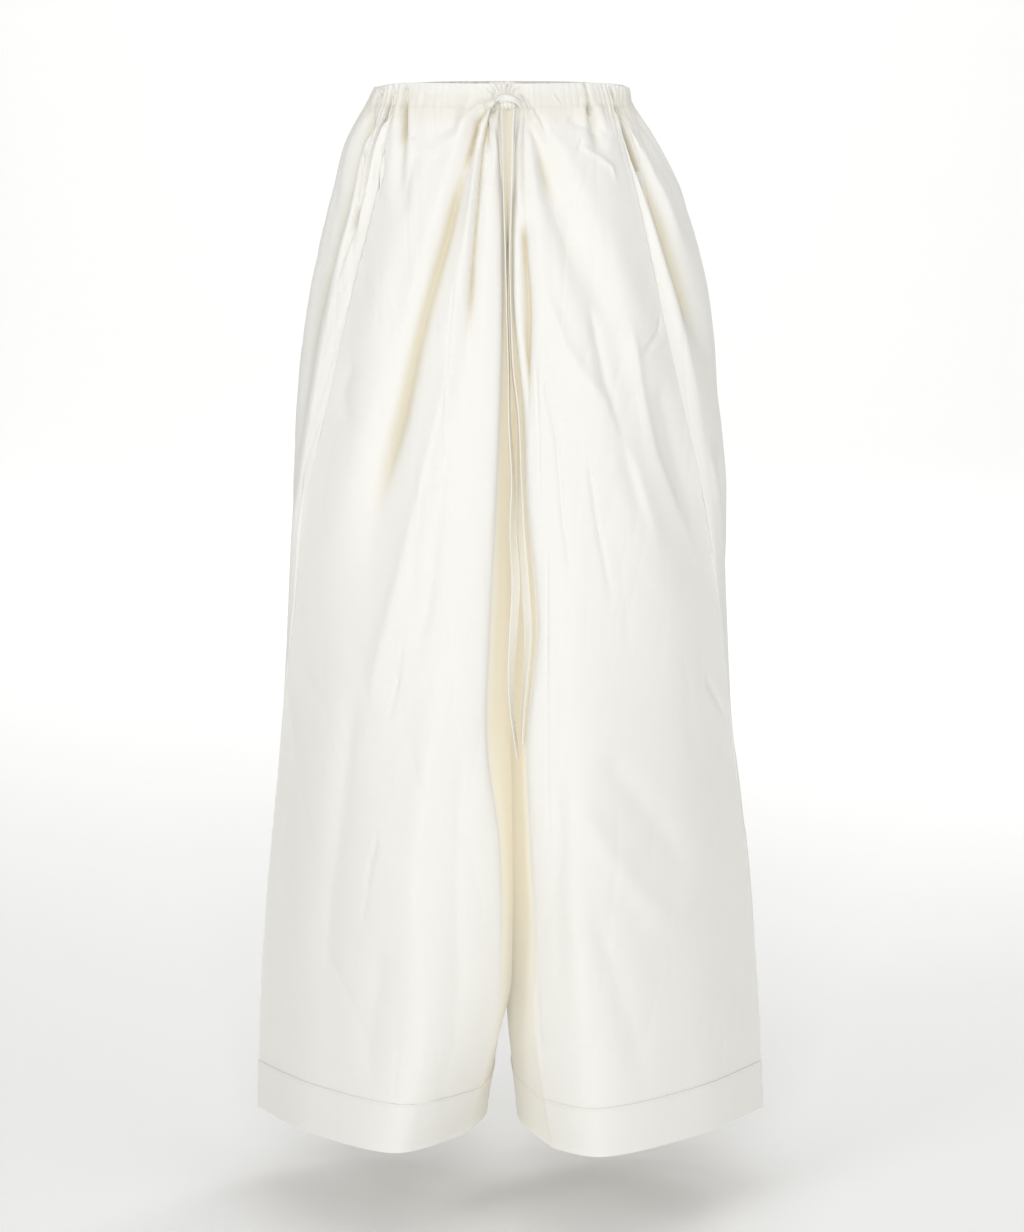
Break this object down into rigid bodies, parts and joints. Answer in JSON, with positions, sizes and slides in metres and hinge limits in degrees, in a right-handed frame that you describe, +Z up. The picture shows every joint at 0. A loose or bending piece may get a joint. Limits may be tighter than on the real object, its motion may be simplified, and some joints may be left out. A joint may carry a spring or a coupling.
{
  "type": "wide-leg drawstring trousers",
  "caption": "Ivory drawstring wide-leg trousers with side pockets and deep hem bands, filled out as when worn",
  "frame": {"origin": "centre of the waist opening, level with the casing's top edge", "axes": "+Z up, wearer faces -Y, wearer's left is +X"},
  "size_m": [0.5256, 0.3246, 1.0564],
  "materials": {
    "cloth": "matte",
    "band_cloth": "matte",
    "tie_tape": "matte"
  },
  "bodies": {
    "root": {"front_right": "cloth", "front_left": "cloth", "back_right": "cloth", "back_left": "cloth", "pocket_facing_right": "band_cloth", "pocket_facing_left": "band_cloth", "casing_front_right": "band_cloth", "casing_front_left": "band_cloth", "casing_back": "band_cloth", "hem_band_right": "band_cloth", "hem_band_left": "band_cloth", "tie_knot": "tie_tape", "tie_arch": "tie_tape", "tie_end_right": "tie_tape", "tie_end_left": "tie_tape"}
  },
  "joints": []
}
